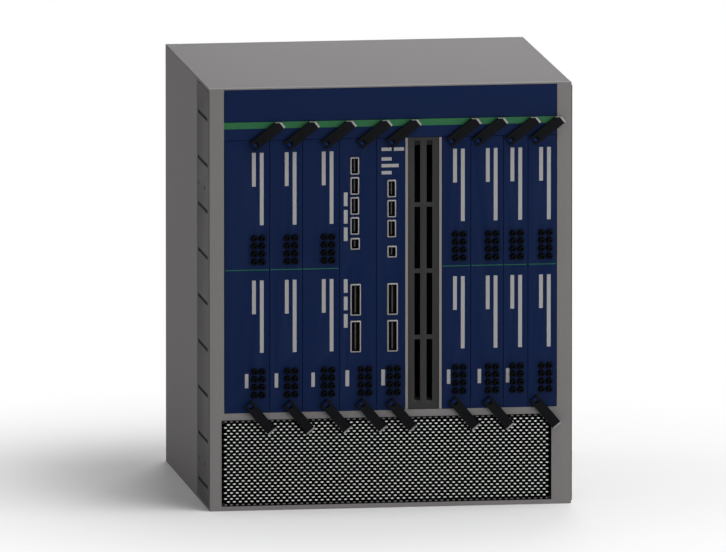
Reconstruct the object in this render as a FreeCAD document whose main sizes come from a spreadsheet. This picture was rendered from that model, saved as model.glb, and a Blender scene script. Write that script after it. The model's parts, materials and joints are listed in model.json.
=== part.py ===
# Edge router chassis: a card cage with plug-in cards, a blower module and a filtered air intake.
# Millimetres. +Z is up, the front faces -Y, and the origin is the middle of the chassis floor.
import FreeCAD, Part
import Sketcher
import os
from math import pi

# Driving dimensions

SIZES = {
    "column_width": 17.76,
    "body_depth": 400,
    "sheet_metal": 1.5,
    "skirt_height": 12,
    "frame_depth": 12,
    "bottom_strip": 5.5,
    "grille_height": 107,
    "crossbar_height": 8.5,
    "plate_height": 337.5,
    "header_height": 14.5,
    "stripe_height": 8.5,
    "blower_height": 40,
    "top_strip": 1.5,
    "slot_pitch": 5.08,
    "bay_gap": 0.5,
    "plate_gap": 0.6,
    "plate_thickness": 2.5,
    "seat_gap": 0.2,
    "lip_height": 10,
    "rail_depth": 14,
    "rail_wall": 2.5,
    "stripe_recess": 0.5,
    "grille_left_margin": 14.5,
    "grille_right_margin": 24.5,
    "grille_thickness": 0.8,
    "grille_recess": 0.8,
    "grille_ledge": 3,
    "grille_slot_length": 22,
    "grille_slot_height": 4.5,
    "grille_side_land": 17.5,
    "grille_end_land": 6.25,
    "filter_thickness": 12,
    "filter_gap": 0.5,
    "strip_thickness": 1,
    "strip_width": 108,
    "strip_margin": 4,
    "strip_slot_length": 86,
    "strip_slot_height": 4.5,
    "strip_low_land": 21,
    "strip_high_land": 33.5,
    "ear_hole_radius": 2.75,
    "ear_hole_inset": 40,
    "ear_hole_spacing": 50,
    "filler_flange": 3.2,
    "filler_recess": 1.5,
    "filler_slot_width": 7,
    "filler_bar": 5.6,
    "filler_slot_across": 15,
    "filler_low_land": 10,
    "filler_high_land": 4,
    "board_offset": 9,
    "board_thickness": 2,
    "board_depth": 255,
    "guide_width": 8,
    "guide_height": 8,
    "groove_depth": 5,
    "groove_overrun": 1,
    "slide_gap": 0.3,
    "guide_bar": 12,
    "guide_web": 4,
    "guide_beam": 18,
    "plug_width": 10,
    "plug_height": 150,
    "plug_length": 12,
    "plug_reach": 2,
    "socket_depth": 10,
    "backplane_thickness": 4,
    "jack_radius": 4.5,
    "jack_length": 8,
    "jack_from_right": 8.9,
    "jack_column_pitch": 9.6,
    "jack_row_pitch": 9.8,
    "jack_low_row": 22,
    "jack_group_rise": 165,
    "label_width": 5,
    "label_recess": 0.4,
    "label_short": 42,
    "label_long": 90,
    "label_top": 14.8,
    "label_group_drop": 158,
    "label_from_right": 9.4,
    "label_column_pitch": 9.7,
    "line_tag_width": 4.6,
    "line_tag_length": 18,
    "service_tag_width": 2.5,
    "service_tag_length": 19.7,
    "tag_low": 30.5,
    "caption_height": 4.5,
    "caption_short": 12.8,
    "caption_long": 21.4,
    "caption_left": 6,
    "caption_gap": 2.5,
    "caption_row_1": 11.5,
    "caption_row_2": 23.5,
    "caption_row_3": 31.8,
    "caption_row_4": 40.5,
    "side_label_left": 5,
    "side_label_length": 17.2,
    "side_label_pitch": 21.6,
    "side_labels_high": 66.1,
    "side_labels_low": 173.5,
    "port_depth": 14,
    "port_proud": 1.5,
    "port_wall": 1.6,
    "port_gap": 0.2,
    "small_port_width": 11.2,
    "small_port_height": 21.8,
    "small_port_pitch": 24.8,
    "square_port_width": 12,
    "square_port_height": 14.6,
    "large_port_width": 13.4,
    "large_port_height": 39.4,
    "large_port_pitch": 45.6,
    "port_left": 13,
    "lever_length": 47,
    "lever_width": 12.4,
    "lever_thickness": 7.2,
    "lever_tip_bevel": 2.5,
    "lever_clear": 1.4,
    "top_lever_angle": 38,
    "top_lever_drop": 5,
    "bottom_lever_angle": -50,
    "bottom_lever_rise": 9.9,
    "lug_width": 4.6,
    "lug_radius": 3.2,
    "lug_gap": 0.3,
    "pin_radius": 1.6,
    "pin_gap": 0.05,
    "tray_sheet": 1.2,
    "tray_wall": 34,
    "tray_depth": 255,
    "tray_gap": 0.3,
    "inlet_radius": 58,
    "spider_width": 14,
    "impeller_radius": 84,
    "impeller_height": 28,
    "impeller_back": 140,
    "disc_thickness": 2,
    "hub_radius": 26,
    "blade_length": 46,
    "blade_thickness": 2.4,
    "blade_inner": 36,
    "spindle_radius": 5,
    "spindle_gap": 0.06,
    "exhaust_slot_width": 6,
    "exhaust_slot_height": 32,
    "exhaust_slot_pitch": 15,
    "exhaust_margin": 10,
    "feed_width": 190,
    "feed_height": 85,
    "feed_spacing": 205,
    "bus_width": 20,
    "bus_thickness": 4.7,
    "bus_spread": 60,
    "bus_overlap": 25,
    "bus_rise": 100,
    "terminal_width": 60,
    "terminal_height": 28,
    "terminal_reach": 12,
    "terminal_low": 30,
    "terminal_gap": 0.5,
    "terminal_root": 1,
    "stud_radius": 3,
    "stud_length": 9,
    "stud_spread": 32,
}

# Slots from left to right: name, width in slot pitches, then the distance from the right edge to the top
# lever's pivot, the bottom lever's pivot, and the small tag by the lower jacks. None leaves a piece out.
SLOTS = [
    ("line_card_1", 11, 18.8, 24.9, 30.5),
    ("line_card_2", 8, 16.9, 17.5, 34.3),
    ("line_card_3", 9, 16.9, 17.5, 34.6),
    ("uplink_card", 9, 18.4, 19.3, 38.0),
    ("processor_card", 7, 17.8, 17.5, 29.1),
    ("slot_filler", 9, None, None, None),
    ("line_card_4", 7, 24.7, 21.0, 29.1),
    ("line_card_5", 8, 32.5, 19.2, 31.7),
    ("line_card_6", 6, 22.5, None, 27.0),
    ("line_card_7", 7, 27.5, 27.2, None),
]
SERVICE_CARDS = ("uplink_card", "processor_card")

# Service-card ports: distances down from the faceplate's top edge to the first of each kind, and the ports in
# order from the top.
PORT_KINDS = ("small_port", "square_port", "large_port")
PORTS = {
    "uplink_card": (22.5, 122.7, 179.7),
    "processor_card": (51.6, 133.3, 179.7),
}
PORT_ORDER = {
    "uplink_card": (
        "small_port", "small_port", "small_port", "small_port", "square_port", "large_port", "large_port",
    ),
    "processor_card": ("small_port", "small_port", "small_port", "square_port", "large_port", "large_port"),
}

doc = FreeCAD.newDocument("edge_router")
sheet = doc.addObject("Spreadsheet::Sheet", "Sizes")
cells = dict(SIZES)
for slot, pitches, top_pivot, bottom_pivot, tag in SLOTS:
    cells[slot + "_pitches"] = pitches
    for word, value in (("top_pivot", top_pivot), ("bottom_pivot", bottom_pivot), ("tag", tag)):
        if value is not None:
            cells[f"{slot}_{word}"] = value
for card, drops in PORTS.items():
    for kind, drop in zip(PORT_KINDS, drops):
        cells[f"{card}_{kind}"] = drop
for row, (alias, value) in enumerate(cells.items(), 1):
    sheet.set(f"A{row}", alias)
    sheet.set(f"B{row}", str(value))
    sheet.setAlias(f"B{row}", alias)
doc.recompute()


# Expressions

def size(name):
    return "Sizes." + name


def add(*terms):
    return "(" + " + ".join(str(term) for term in terms) + ")"


def less(first, *terms):
    return "(" + " - ".join([str(first), *[str(term) for term in terms]]) + ")"


def times(*terms):
    return "(" + " * ".join(str(term) for term in terms) + ")"


def half(term):
    return f"({term} / 2)"


def minus(term):
    return f"(-1 * {term})"


FRONT = minus(half(size("body_depth")))
REAR = half(size("body_depth"))
Z_CROSSBAR = add(size("bottom_strip"), size("grille_height"))
Z_CARDS = add(Z_CROSSBAR, size("crossbar_height"))
Z_HEADER = add(Z_CARDS, size("plate_height"))
Z_STRIPE = add(Z_HEADER, size("header_height"))
Z_BLOWER = add(Z_STRIPE, size("stripe_height"))
Z_TOP = add(Z_BLOWER, size("blower_height"))
HEIGHT = add(Z_TOP, size("top_strip"))
BAY = times(size("slot_pitch"), add(*[size(slot[0] + "_pitches") for slot in SLOTS]))
OPENING = add(BAY, times(2, size("bay_gap")))
BODY_WIDTH = add(OPENING, times(2, size("column_width")))
INNER = less(half(BODY_WIDTH), size("sheet_metal"))
PLATE_BACK = add(FRONT, size("plate_thickness"))
Z_LOW_GUIDE = add(Z_CARDS, size("lip_height"))
Z_HIGH_GUIDE = less(Z_HEADER, size("lip_height"))
BOARD_END = add(PLATE_BACK, size("board_depth"))
SOCKET_FRONT = add(BOARD_END, size("plug_reach"), size("slide_gap"))
BACKPLANE_FRONT = add(SOCKET_FRONT, size("socket_depth"))
FACE_WIDTH = {
    slot[0]: less(times(size("slot_pitch"), size(slot[0] + "_pitches")), size("plate_gap")) for slot in SLOTS
}
FACE_HEIGHT = less(size("plate_height"), size("plate_gap"))
FACE_LOW = add(Z_CARDS, half(size("plate_gap")))


def slot_left(index):
    """Left edge of a slot's faceplate."""
    before = [size(slot[0] + "_pitches") for slot in SLOTS[:index]]
    left = minus(half(BAY))
    if before:
        left = add(left, times(size("slot_pitch"), add(*before)))
    return add(left, half(size("plate_gap")))


def value_of(expression):
    return float(sheet.evalExpression(str(expression)))


# Modelling helpers

def move(thing, x=0, y=0, z=0):
    for axis, place in zip("xyz", (x, y, z)):
        thing.setExpression(f"Placement.Base.{axis}", str(place))
    return thing


def block(name, low, spans):
    thing = doc.addObject("Part::Box", name)
    for side, span in zip(("Length", "Width", "Height"), spans):
        thing.setExpression(side, str(span))
    return move(thing, *low)


def part_body(name):
    return doc.addObject("PartDesign::Body", name)


def origin_of(body, role):
    return next(feature for feature in body.Origin.OriginFeatures if feature.Role == role)


def sketch_on(body, name, role, offset=None):
    sketch = body.newObject("Sketcher::SketchObject", name)
    sketch.AttachmentSupport = [(origin_of(body, role), "")]
    sketch.MapMode = "FlatFace"
    if offset is not None:
        sketch.setExpression("AttachmentOffset.Base.z", str(offset))
    return sketch


def pin_point(sketch, edge, end, point):
    """Hold one end of an edge at a point given by two expressions."""
    for kind, place in zip(("DistanceX", "DistanceY"), point):
        index = sketch.addConstraint(Sketcher.Constraint(kind, -1, 1, edge, end, value_of(place)))
        sketch.setExpression(f"Constraints[{index}]", str(place))


def outline(sketch, points):
    """A closed outline of straight edges through the given points."""
    places = [FreeCAD.Vector(value_of(x), value_of(y), 0) for x, y in points]
    first = sketch.GeometryCount
    count = len(points)
    for i in range(count):
        sketch.addGeometry(Part.LineSegment(places[i], places[(i + 1) % count]))
    for i in range(count):
        sketch.addConstraint(Sketcher.Constraint("Coincident", first + i, 2, first + (i + 1) % count, 1))
    for i in range(count):
        pin_point(sketch, first + i, 1, points[i])


def rectangle(sketch, x, y, width, height):
    outline(sketch, [(x, y), (add(x, width), y), (add(x, width), add(y, height)), (x, add(y, height))])


def circle(sketch, x, y, radius):
    edge = sketch.addGeometry(
        Part.Circle(FreeCAD.Vector(value_of(x), value_of(y), 0), FreeCAD.Vector(0, 0, 1), value_of(radius))
    )
    pin_point(sketch, edge, 3, (x, y))
    index = sketch.addConstraint(Sketcher.Constraint("Radius", edge, value_of(radius)))
    sketch.setExpression(f"Constraints[{index}]", str(radius))


def feature(body, kind, name, sketch, length=None, symmetric=False, through=False, reverse=False):
    """A pad or pocket of a sketch."""
    doc.recompute()
    thing = body.newObject("PartDesign::" + kind, name)
    thing.Profile = sketch
    if through:
        thing.Type = "ThroughAll"
    else:
        thing.setExpression("Length", str(length))
    if symmetric:
        thing.SideType = "Symmetric"
    thing.Reversed = reverse
    doc.recompute()
    return thing


def grid(body, name, original, *runs):
    """Repeat a feature along the body's axes: each run is an axis, a spacing and a count."""
    steps = []
    many = body.newObject("PartDesign::MultiTransform", name)
    for number, (role, spacing, count) in enumerate(runs):
        step = body.newObject("PartDesign::LinearPattern", f"{name}_{number}")
        step.Direction = (origin_of(body, role), [""])
        step.setExpression("Length", times(spacing, count - 1))
        step.Occurrences = count
        steps.append(step)
    many.Originals = [original]
    many.Transformations = steps
    body.Tip = many
    doc.recompute()
    return many


def join(name, kind, things):
    whole = doc.addObject(kind, name)
    if kind == "Part::Compound":
        whole.Links = things
    else:
        whole.Shapes = things
    return whole


nodes = []


def node(thing, name):
    """Name a finished sub-part."""
    thing.Label = name
    nodes.append(thing)
    return thing


# Chassis tub: floor and side walls folded from one sheet, with the holes that take the rack ears. Each hole
# lies midway between two slots of the side strip over it.

tub = move(part_body("tub"), y=less(REAR, size("sheet_metal")))
TUB_LENGTH = less(size("body_depth"), size("frame_depth"), size("sheet_metal"))
TUB_TOP = less(HEIGHT, size("sheet_metal"))
WALL = half(BODY_WIDTH)
profile = sketch_on(tub, "tub_profile", "XZ_Plane")
outline(profile, [
    (minus(WALL), 0), (WALL, 0), (WALL, TUB_TOP), (INNER, TUB_TOP),
    (INNER, size("sheet_metal")), (minus(INNER), size("sheet_metal")),
    (minus(INNER), TUB_TOP), (minus(WALL), TUB_TOP),
])
feature(tub, "Pad", "tub_walls", profile, TUB_LENGTH)
STRIP_HEIGHT = less(HEIGHT, times(2, size("strip_margin")))
STRIP_SLOTS = 9
STRIP_RUN = less(STRIP_HEIGHT, size("strip_low_land"), size("strip_high_land"), size("strip_slot_height"))
STRIP_PITCH = f"({STRIP_RUN} / {STRIP_SLOTS - 1})"
STRIP_FIRST = add(size("strip_margin"), size("strip_low_land"))
EAR_SLOTS = (0, 6)
EAR_PLACES = [
    (add(FRONT, size("ear_hole_inset"), times(column, size("ear_hole_spacing"))),
     add(STRIP_FIRST, half(STRIP_PITCH), times(number, STRIP_PITCH)))
    for column in (0, 1) for number in EAR_SLOTS
]
holes = sketch_on(tub, "tub_ear_holes", "YZ_Plane")
for y, z in EAR_PLACES:
    circle(holes, less(y, less(REAR, size("sheet_metal"))), z, size("ear_hole_radius"))
feature(tub, "Pocket", "tub_ear_bores", holes, through=True, symmetric=True)
node(tub, "chassis_tub")

# Top cover: a lid with a skirt folded down inside each side wall

cover = move(part_body("cover"), y=less(REAR, size("sheet_metal")))
SKIRT_FOOT = less(TUB_TOP, size("skirt_height"))
SKIRT_IN = less(INNER, size("sheet_metal"))
profile = sketch_on(cover, "cover_profile", "XZ_Plane")
outline(profile, [
    (minus(WALL), HEIGHT), (minus(WALL), TUB_TOP), (minus(INNER), TUB_TOP), (minus(INNER), SKIRT_FOOT),
    (minus(SKIRT_IN), SKIRT_FOOT), (minus(SKIRT_IN), TUB_TOP), (SKIRT_IN, TUB_TOP), (SKIRT_IN, SKIRT_FOOT),
    (INNER, SKIRT_FOOT), (INNER, TUB_TOP), (WALL, TUB_TOP), (WALL, HEIGHT),
])
feature(cover, "Pad", "cover_sheet", profile, TUB_LENGTH)
node(cover, "top_cover")

# Rear panel: exhaust slots behind the blowers and two cut-outs for the power terminals

rear = move(part_body("rear"), y=REAR)
profile = sketch_on(rear, "rear_outline", "XZ_Plane")
rectangle(profile, minus(WALL), 0, BODY_WIDTH, HEIGHT)
for side in (-1, 1):
    rectangle(
        profile,
        less(half(times(side, size("feed_spacing"))), half(size("terminal_width")), size("terminal_gap")),
        less(size("terminal_low"), size("terminal_gap")),
        add(size("terminal_width"), times(2, size("terminal_gap"))),
        add(size("terminal_height"), times(2, size("terminal_gap"))),
    )
feature(rear, "Pad", "rear_sheet", profile, size("sheet_metal"))
EXHAUST_COUNT = 26
slot = sketch_on(rear, "exhaust_slot", "XZ_Plane")
rectangle(
    slot,
    less(minus(times(half(size("exhaust_slot_pitch")), EXHAUST_COUNT - 1)), half(size("exhaust_slot_width"))),
    less(Z_TOP, size("exhaust_slot_height"), half(size("exhaust_margin"))),
    size("exhaust_slot_width"),
    size("exhaust_slot_height"),
)
cut = feature(rear, "Pocket", "exhaust_cut", slot, through=True, symmetric=True)
grid(rear, "exhaust_row", cut, ("X_Axis", size("exhaust_slot_pitch"), EXHAUST_COUNT))
node(rear, "rear_panel")

# Front frame: columns, bottom strip, crossbar and top strip, a lip behind the faceplates and a grille rebate

frame = move(part_body("frame"), y=add(FRONT, size("frame_depth")))
GRILLE_LEFT = add(minus(WALL), size("grille_left_margin"))
GRILLE_WIDTH = less(BODY_WIDTH, size("grille_left_margin"), size("grille_right_margin"))
WINDOW_LEFT = add(GRILLE_LEFT, size("grille_ledge"))
WINDOW_LOW = add(size("bottom_strip"), size("grille_ledge"))
WINDOW_WIDTH = less(GRILLE_WIDTH, times(2, size("grille_ledge")))
WINDOW_HEIGHT = less(size("grille_height"), times(2, size("grille_ledge")))
profile = sketch_on(frame, "frame_outline", "XZ_Plane")
rectangle(profile, minus(WALL), 0, BODY_WIDTH, HEIGHT)
rectangle(profile, minus(half(OPENING)), Z_CARDS, OPENING, less(Z_TOP, Z_CARDS))
rectangle(profile, WINDOW_LEFT, WINDOW_LOW, WINDOW_WIDTH, WINDOW_HEIGHT)
feature(frame, "Pad", "frame_bars", profile, size("frame_depth"))
lip = sketch_on(frame, "frame_lip_outline", "XZ_Plane")
rectangle(lip, minus(half(OPENING)), add(Z_CROSSBAR, half(size("crossbar_height"))), OPENING,
          less(Z_LOW_GUIDE, Z_CROSSBAR, half(size("crossbar_height"))))
feature(frame, "Pad", "frame_lip", lip, less(size("frame_depth"), size("plate_thickness"), size("seat_gap")))
rebate = sketch_on(frame, "grille_rebate", "XZ_Plane", size("frame_depth"))
rectangle(rebate, GRILLE_LEFT, size("bottom_strip"), GRILLE_WIDTH, size("grille_height"))
feature(frame, "Pocket", "grille_seat", rebate, add(size("grille_thickness"), size("grille_recess")))
node(frame, "front_frame")

# Upper rail: an extruded channel whose nose carries the header and the stripe above the faceplates

rail = part_body("rail")
RAIL_FACE = add(PLATE_BACK, size("seat_gap"))
RAIL_BACK = add(FRONT, size("rail_depth"))
RAIL_TOP = less(Z_BLOWER, size("seat_gap"))
NOSE_FOOT = add(Z_HEADER, half(size("plate_gap")))
profile = sketch_on(rail, "rail_profile", "YZ_Plane")
outline(profile, [
    (FRONT, NOSE_FOOT), (FRONT, Z_STRIPE), (add(FRONT, size("stripe_recess")), Z_STRIPE),
    (add(FRONT, size("stripe_recess")), RAIL_TOP), (RAIL_BACK, RAIL_TOP),
    (RAIL_BACK, less(RAIL_TOP, size("rail_wall"))),
    (add(RAIL_FACE, size("rail_wall")), less(RAIL_TOP, size("rail_wall"))),
    (add(RAIL_FACE, size("rail_wall")), add(Z_HIGH_GUIDE, size("rail_wall"))),
    (RAIL_BACK, add(Z_HIGH_GUIDE, size("rail_wall"))), (RAIL_BACK, Z_HIGH_GUIDE),
    (RAIL_FACE, Z_HIGH_GUIDE), (RAIL_FACE, NOSE_FOOT),
])
feature(rail, "Pad", "rail_bar", profile, OPENING, symmetric=True)
node(rail, "upper_rail")

# Side rails: slotted strips on both side walls that carry the rack ears

strips = part_body("strips")
profile = sketch_on(strips, "strip_outline", "YZ_Plane", WALL)
rectangle(profile, FRONT, size("strip_margin"), size("strip_width"), STRIP_HEIGHT)
for number in range(STRIP_SLOTS):
    rectangle(
        profile,
        add(FRONT, half(less(size("strip_width"), size("strip_slot_length")))),
        add(STRIP_FIRST, times(number, STRIP_PITCH)),
        size("strip_slot_length"),
        size("strip_slot_height"),
    )
for y, z in EAR_PLACES:
    circle(profile, y, z, size("ear_hole_radius"))
strip = feature(strips, "Pad", "strip_sheet", profile, size("strip_thickness"))
mirrored = strips.newObject("PartDesign::Mirrored", "strip_pair")
mirrored.Originals = [strip]
mirrored.MirrorPlane = (origin_of(strips, "YZ_Plane"), [""])
strips.Tip = mirrored
doc.recompute()
node(strips, "side_rails")

# Intake grille: a pierced sheet seated in the frame's rebate

grille = move(part_body("grille"), y=add(FRONT, size("grille_recess"), size("grille_thickness")))
profile = sketch_on(grille, "grille_outline", "XZ_Plane")
rectangle(profile, GRILLE_LEFT, size("bottom_strip"), GRILLE_WIDTH, size("grille_height"))
feature(grille, "Pad", "grille_sheet", profile, size("grille_thickness"))
GRILLE_COLUMNS = 12
GRILLE_ROWS = 10
SLOT_RUN = less(GRILLE_WIDTH, times(2, size("grille_side_land")), size("grille_slot_length"))
ROW_RUN = less(size("grille_height"), times(2, size("grille_end_land")), size("grille_slot_height"))
slot = sketch_on(grille, "grille_slot", "XZ_Plane")
rectangle(
    slot,
    add(GRILLE_LEFT, size("grille_side_land")),
    add(size("bottom_strip"), size("grille_end_land")),
    size("grille_slot_length"),
    size("grille_slot_height"),
)
cut = feature(grille, "Pocket", "grille_cut", slot, through=True, symmetric=True)
grid(grille, "grille_field", cut, ("X_Axis", f"({SLOT_RUN} / {GRILLE_COLUMNS - 1})", GRILLE_COLUMNS),
     ("Z_Axis", f"({ROW_RUN} / {GRILLE_ROWS - 1})", GRILLE_ROWS))
node(grille, "intake_grille")

# Air filter: a pad of white media standing on the floor, with a raised face that fills the frame's window

filter_pad = block(
    "filter_pad",
    (minus(INNER), add(FRONT, size("frame_depth")), size("sheet_metal")),
    (times(2, INNER), size("filter_thickness"), less(Z_CROSSBAR, size("sheet_metal"))),
)
FACE_BACK = add(size("grille_recess"), size("grille_thickness"), size("seat_gap"))
filter_face = block(
    "filter_face",
    (add(WINDOW_LEFT, size("filter_gap")), add(FRONT, FACE_BACK), add(WINDOW_LOW, size("filter_gap"))),
    (less(WINDOW_WIDTH, times(2, size("filter_gap"))), less(size("frame_depth"), FACE_BACK),
     less(WINDOW_HEIGHT, times(2, size("filter_gap")))),
)
node(join("filter_media", "Part::MultiFuse", [filter_pad, filter_face]), "air_filter")

# Slot filler: a slotted channel that closes the empty slot

FILLER_INDEX = next(index for index, slot in enumerate(SLOTS) if slot[0] == "slot_filler")
FILLER_WIDTH = FACE_WIDTH["slot_filler"]
filler = move(part_body("filler"), slot_left(FILLER_INDEX), PLATE_BACK, FACE_LOW)
profile = sketch_on(filler, "filler_profile", "XY_Plane")
FILLER_WEB = add(minus(size("plate_thickness")), size("filler_recess"))
outline(profile, [
    (0, 0), (FILLER_WIDTH, 0), (FILLER_WIDTH, minus(size("plate_thickness"))),
    (less(FILLER_WIDTH, size("filler_flange")), minus(size("plate_thickness"))),
    (less(FILLER_WIDTH, size("filler_flange")), FILLER_WEB), (size("filler_flange"), FILLER_WEB),
    (size("filler_flange"), minus(size("plate_thickness"))), (0, minus(size("plate_thickness"))),
])
feature(filler, "Pad", "filler_sheet", profile, FACE_HEIGHT)
FILLER_COLUMNS = 2
FILLER_ROWS = 4
FILLER_BARS = times(FILLER_ROWS - 1, size("filler_bar"))
FILLER_LANDS = add(size("filler_low_land"), size("filler_high_land"), FILLER_BARS)
FILLER_SLOT = f"({less(FACE_HEIGHT, FILLER_LANDS)} / {FILLER_ROWS})"
slot = sketch_on(filler, "filler_slot", "XZ_Plane")
rectangle(
    slot,
    less(half(FILLER_WIDTH), half(size("filler_slot_across")), half(size("filler_slot_width"))),
    size("filler_low_land"),
    size("filler_slot_width"),
    FILLER_SLOT,
)
cut = feature(filler, "Pocket", "filler_cut", slot, through=True, symmetric=True)
grid(filler, "filler_field", cut, ("X_Axis", size("filler_slot_across"), FILLER_COLUMNS),
     ("Z_Axis", add(FILLER_SLOT, size("filler_bar")), FILLER_ROWS))
node(filler, "slot_filler")

# Cards: levers on hinge lugs, a faceplate, its jacks or ports, and a board with a backplane plug

PIVOT_OUT = add(half(size("lever_thickness")), size("lever_clear"))
LEVER_HALF = half(size("lever_thickness"))
LEVER_TIP = less(size("lever_length"), LEVER_HALF)


def hang(thing, x, z, angle):
    """Place a piece that is drawn along +X, facing +Z, on a lever's pivot."""
    turn = f"rotation(vector(0; -1; 0); {angle}) * rotation(vector(1; 0; 0); 90)"
    thing.setExpression("Placement", f"placement(vector({x}; {less(FRONT, PIVOT_OUT)}; {z}); {turn})")


def arc(sketch, middle, radius, start, end):
    """A quarter or half round whose ends are held by the edges beside it."""
    return sketch.addGeometry(
        Part.ArcOfCircle(
            Part.Circle(FreeCAD.Vector(*middle, 0), FreeCAD.Vector(0, 0, 1), value_of(radius)), start, end
        )
    )


def rounded_outline(sketch, points, radius, start, end):
    """An open run of straight edges, closed by an arc about the origin."""
    places = [FreeCAD.Vector(value_of(x), value_of(y), 0) for x, y in points]
    for i in range(len(points) - 1):
        sketch.addGeometry(Part.LineSegment(places[i], places[i + 1]))
    last = len(points) - 2
    for i in range(last):
        sketch.addConstraint(Sketcher.Constraint("Coincident", i, 2, i + 1, 1))
    for i in range(last + 1):
        pin_point(sketch, i, 1, points[i])
    pin_point(sketch, last, 2, points[-1])
    curve = arc(sketch, (0, 0), radius, start, end)
    sketch.addConstraint(Sketcher.Constraint("Coincident", curve, 1, last, 2))
    sketch.addConstraint(Sketcher.Constraint("Coincident", curve, 2, 0, 1))
    sketch.addConstraint(Sketcher.Constraint("PointOnObject", curve, 3, -1))


QUARTER = pi / 2


def hinge_lug(name, x, z, angle):
    """A round-ended tongue on the faceplate, bored for the lever's pin."""
    body = part_body(name)
    profile = sketch_on(body, name + "_profile", "XZ_Plane")
    reach = size("lug_radius")
    rounded_outline(
        profile,
        [(minus(reach), 0), (minus(reach), minus(PIVOT_OUT)), (reach, minus(PIVOT_OUT)), (reach, 0)],
        reach, 0, 2 * QUARTER,
    )
    circle(profile, 0, 0, add(size("pin_radius"), size("pin_gap")))
    feature(body, "Pad", name + "_tongue", profile, size("lug_width"), symmetric=True)
    hang(body, x, z, angle)
    return body


def lever(name, x, z, angle, clip_height=None):
    """A folding lever: a forked bar with a cross pin; a top lever's tip is cut level under the blower."""
    body = part_body(name)
    profile = sketch_on(body, name + "_profile", "XZ_Plane")
    rounded_outline(
        profile,
        [(0, minus(LEVER_HALF)), (LEVER_TIP, minus(LEVER_HALF)),
         (LEVER_TIP, less(LEVER_HALF, size("lever_tip_bevel"))),
         (less(LEVER_TIP, size("lever_tip_bevel")), LEVER_HALF),
         (minus(LEVER_HALF), LEVER_HALF), (minus(LEVER_HALF), 0)],
        LEVER_HALF, 2 * QUARTER, 3 * QUARTER,
    )
    feature(body, "Pad", name + "_bar", profile, size("lever_width"), symmetric=True)
    fork = sketch_on(body, name + "_fork", "XZ_Plane")
    rectangle(
        fork, minus(size("lever_thickness")), minus(size("lever_thickness")),
        add(size("lever_thickness"), size("lug_radius"), times(3, size("lug_gap"))),
        times(2, size("lever_thickness")),
    )
    fork_width = add(size("lug_width"), times(2, size("lug_gap")))
    feature(body, "Pocket", name + "_slot", fork, fork_width, symmetric=True)
    pin = sketch_on(body, name + "_pin", "XZ_Plane")
    circle(pin, 0, 0, size("pin_radius"))
    feature(body, "Pad", name + "_cross_pin", pin, size("lever_width"), symmetric=True)
    if clip_height is not None:
        sine, cosine = f"sin({angle} * 1deg)", f"cos({angle} * 1deg)"
        side = half(size("lever_width"))
        clip = sketch_on(body, name + "_clip", "XY_Plane")
        start = f"({less(clip_height, times(side, cosine))} / {sine})"
        finish = f"({less(clip_height, times(LEVER_TIP, sine))} / {cosine})"
        outline(clip, [(start, side), (LEVER_TIP, finish), (LEVER_TIP, side)])
        feature(body, "Pocket", name + "_level_cut", clip, through=True, symmetric=True)
    hang(body, x, z, angle)
    return node(body, name)


def line_labels(sketch, width):
    """Short and long label recesses over each of the two jack groups."""
    for group in (0, 1):
        top = less(FACE_HEIGHT, size("label_top"), times(group, size("label_group_drop")))
        for column, length in ((1, "label_short"), (0, "label_long")):
            right = less(width, size("label_from_right"), times(column, size("label_column_pitch")))
            rectangle(sketch, less(right, half(size("label_width"))), less(top, size(length)),
                      size("label_width"), size(length))


SIDE_LABELS = ("side_labels_high", "side_labels_low")
SIDE_LABELS_EACH = 3
CAPTIONS = (
    ("caption_row_1", "caption_short"), ("caption_row_2", "caption_short"),
    ("caption_row_3", "caption_long"), ("caption_row_4", "caption_short"),
)


def service_labels(sketch, card):
    """Side labels beside the uplink ports, or caption lines above the processor ports."""
    if card == "uplink_card":
        for drop in SIDE_LABELS:
            for number in range(SIDE_LABELS_EACH):
                top = less(FACE_HEIGHT, size(drop), times(number, size("side_label_pitch")))
                rectangle(sketch, size("side_label_left"), less(top, size("side_label_length")),
                          size("label_width"), size("side_label_length"))
        return
    for drop, length in CAPTIONS:
        low = less(FACE_HEIGHT, size(drop), size("caption_height"))
        rectangle(sketch, size("caption_left"), low, size(length), size("caption_height"))
    second = add(size("caption_left"), size("caption_short"), size("caption_gap"))
    low = less(FACE_HEIGHT, size("caption_row_1"), size("caption_height"))
    rectangle(sketch, second, low, size("caption_short"), size("caption_height"))


def port_places(card):
    """Lower left corner, width and height of each port, in the faceplate's frame."""
    places = []
    for index, kind in enumerate(PORT_ORDER[card]):
        number = PORT_ORDER[card][:index].count(kind)
        drop = size(f"{card}_{kind}")
        if number:
            drop = add(drop, times(number, size(kind + "_pitch")))
        low = less(FACE_HEIGHT, drop, size(kind + "_height"))
        places.append((size("port_left"), low, size(kind + "_width"), size(kind + "_height")))
    return places


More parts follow.
